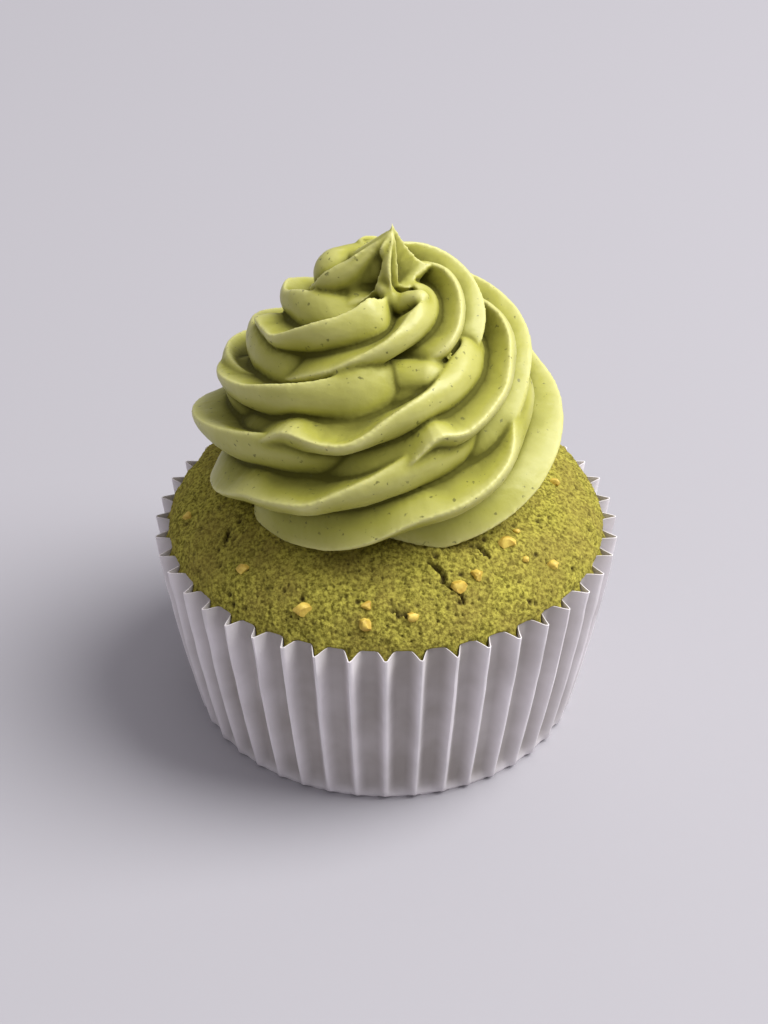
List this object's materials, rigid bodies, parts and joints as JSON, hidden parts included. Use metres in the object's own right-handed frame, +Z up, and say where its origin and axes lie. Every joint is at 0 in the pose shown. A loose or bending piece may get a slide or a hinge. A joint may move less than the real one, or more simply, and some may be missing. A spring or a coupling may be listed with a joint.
{
  "type": "cupcake",
  "caption": "Cupcake in a fluted paper case, with a cracked domed sponge, chopped nuts and a tall ridged swirl of piped icing.",
  "frame": {"origin": "middle of the case's flat underside, on the surface that it stands on", "axes": "+Z up to the peak of the icing, -Y towards the front of the view, +X to its right"},
  "size_m": [0.065, 0.0649, 0.0765],
  "materials": {
    "paper": "white greaseproof paper, pleated, a little grey where folds shade it",
    "sponge": "dry open crumb, dull",
    "icing": "smooth buttercream with a soft satin sheen"
  },
  "bodies": {
    "root": {"paper_case": "paper", "sponge": "sponge", "icing_swirl": "icing"}
  },
  "joints": []
}
